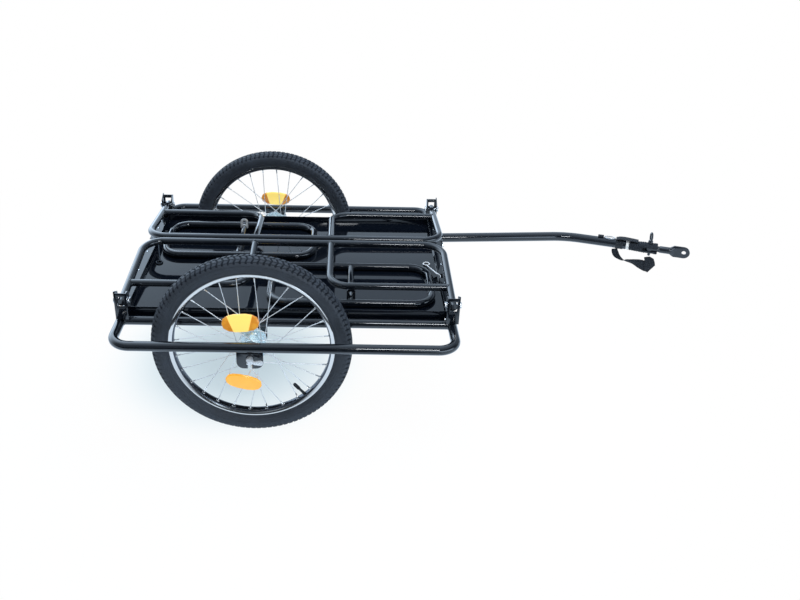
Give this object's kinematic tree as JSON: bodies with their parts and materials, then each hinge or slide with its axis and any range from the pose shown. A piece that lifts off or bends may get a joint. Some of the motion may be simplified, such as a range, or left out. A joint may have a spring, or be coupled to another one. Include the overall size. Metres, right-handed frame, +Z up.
{
  "type": "cargo bike trailer",
  "caption": "Flat-bed cargo bike trailer: tubular frame with sheet tray, spoked wheels inside tube guards, fold-down side panels, stored end gates and a cranked drawbar with a pinned hitch.",
  "frame": {"origin": "on the ground, under the middle of the trailer's outline", "axes": "+X towards the bicycle, +Y to the vehicle's left, +Z up"},
  "size_m": [1.6148, 0.8832, 0.506],
  "materials": {
    "frame_paint": "gloss black powder coat",
    "panel_paint": "gloss black powder coat",
    "tray_sheet": "high gloss black sheet",
    "tyre": "matt black",
    "rim": "bright chrome",
    "hub": "pale blue zinc, bright spokes",
    "reflector": "amber prismatic",
    "valve": "black",
    "steel": "bright zinc",
    "lever": "bright chrome",
    "coupler": "black, ribbed",
    "swivel_ring": "off-white",
    "webbing": "black woven webbing"
  },
  "bodies": {
    "chassis": {"frame_side_tube_left": "frame_paint", "wheel_guard_left": "frame_paint", "axle_plate_left_inner": "frame_paint", "axle_plate_left_outer": "frame_paint", "wheel_axle_left": "steel", "quick_release_skewer_left": "steel", "quick_release_nut_left": "steel", "panel_bracket_front_left": "panel_paint", "panel_bolt_front_left": "steel", "panel_bracket_rear_left": "panel_paint", "panel_bolt_rear_left": "steel", "frame_side_tube_right": "frame_paint", "wheel_guard_right": "frame_paint", "axle_plate_right_inner": "frame_paint", "axle_plate_right_outer": "frame_paint", "wheel_axle_right": "steel", "quick_release_skewer_right": "steel", "quick_release_nut_right": "steel", "panel_bracket_front_right": "panel_paint", "panel_bolt_front_right": "steel", "panel_bracket_rear_right": "panel_paint", "panel_bolt_rear_right": "steel", "frame_end_tube_front": "frame_paint", "floor_cross_tube_front": "frame_paint", "end_gate_front": "panel_paint", "gate_hook_front": "steel", "frame_end_tube_rear": "frame_paint", "floor_cross_tube_rear": "frame_paint", "end_gate_rear": "panel_paint", "gate_hook_rear": "steel", "cargo_tray": "tray_sheet", "drawbar_mount_plate": "frame_paint", "drawbar": "frame_paint", "drawbar_bolt_1": "steel", "drawbar_bolt_2": "steel", "swivel_ring": "swivel_ring", "strap_band": "webbing", "strap_tail": "webbing", "strap_ring": "steel", "strap_hook": "coupler"},
    "wheel_left": {"tyre_left": "tyre", "rim_left": "rim", "hub_and_spokes_left": "hub", "reflector_left_1": "reflector", "reflector_left_2": "reflector", "valve_left": "valve"},
    "panel_left": {"side_panel_left": "panel_paint"},
    "lever_left": {"quick_release_lever_left": "lever"},
    "wheel_right": {"tyre_right": "tyre", "rim_right": "rim", "hub_and_spokes_right": "hub", "reflector_right_1": "reflector", "reflector_right_2": "reflector", "valve_right": "valve"},
    "panel_right": {"side_panel_right": "panel_paint"},
    "lever_right": {"quick_release_lever_right": "lever"},
    "coupler": {"coupler_body": "coupler"},
    "pin": {"hitch_pin": "frame_paint"},
    "tongue": {"hitch_tongue": "frame_paint"}
  },
  "joints": [
    {"name": "wheel_left_spin", "type": "hinge", "parent": "chassis", "child": "wheel_left", "pos_m": [-0.45463, 0.3605, 0.253], "axis": [0, 1, 0], "continuous": true},
    {"name": "side_panel_left_fold", "type": "hinge", "parent": "chassis", "child": "panel_left", "pos_m": [-0.37063, 0.302, 0.345], "axis": [-1, 0, 0], "range_deg": [0, 84.6]},
    {"name": "quick_release_left", "type": "hinge", "parent": "chassis", "child": "lever_left", "pos_m": [-0.45463, 0.433, 0.253], "axis": [0, 0, 1], "range_deg": [0, 170]},
    {"name": "wheel_right_spin", "type": "hinge", "parent": "chassis", "child": "wheel_right", "pos_m": [-0.45463, -0.3605, 0.253], "axis": [0, 1, 0], "continuous": true},
    {"name": "side_panel_right_fold", "type": "hinge", "parent": "chassis", "child": "panel_right", "pos_m": [-0.37063, -0.302, 0.345], "axis": [1, 0, 0], "range_deg": [0, 84.6]},
    {"name": "quick_release_right", "type": "hinge", "parent": "chassis", "child": "lever_right", "pos_m": [-0.45463, -0.433, 0.253], "axis": [0, 0, -1], "range_deg": [0, 170]},
    {"name": "coupler_roll", "type": "hinge", "parent": "chassis", "child": "coupler", "pos_m": [0.65304, 0.14498, 0.30384], "axis": [0.9344, -0.3551, 0.0294], "range_deg": [-35, 35]},
    {"name": "hitch_tongue_swing", "type": "hinge", "parent": "coupler", "child": "tongue", "pos_m": [0.69985, 0.12719, 0.30532], "axis": [-0.0314, 0, 0.9995], "range_deg": [-50, 50]},
    {"name": "hitch_pin_lift", "type": "slide", "parent": "coupler", "child": "pin", "axis": [-0.0314, 0, 0.9995], "range_m": [0, 0.025]}
  ]
}
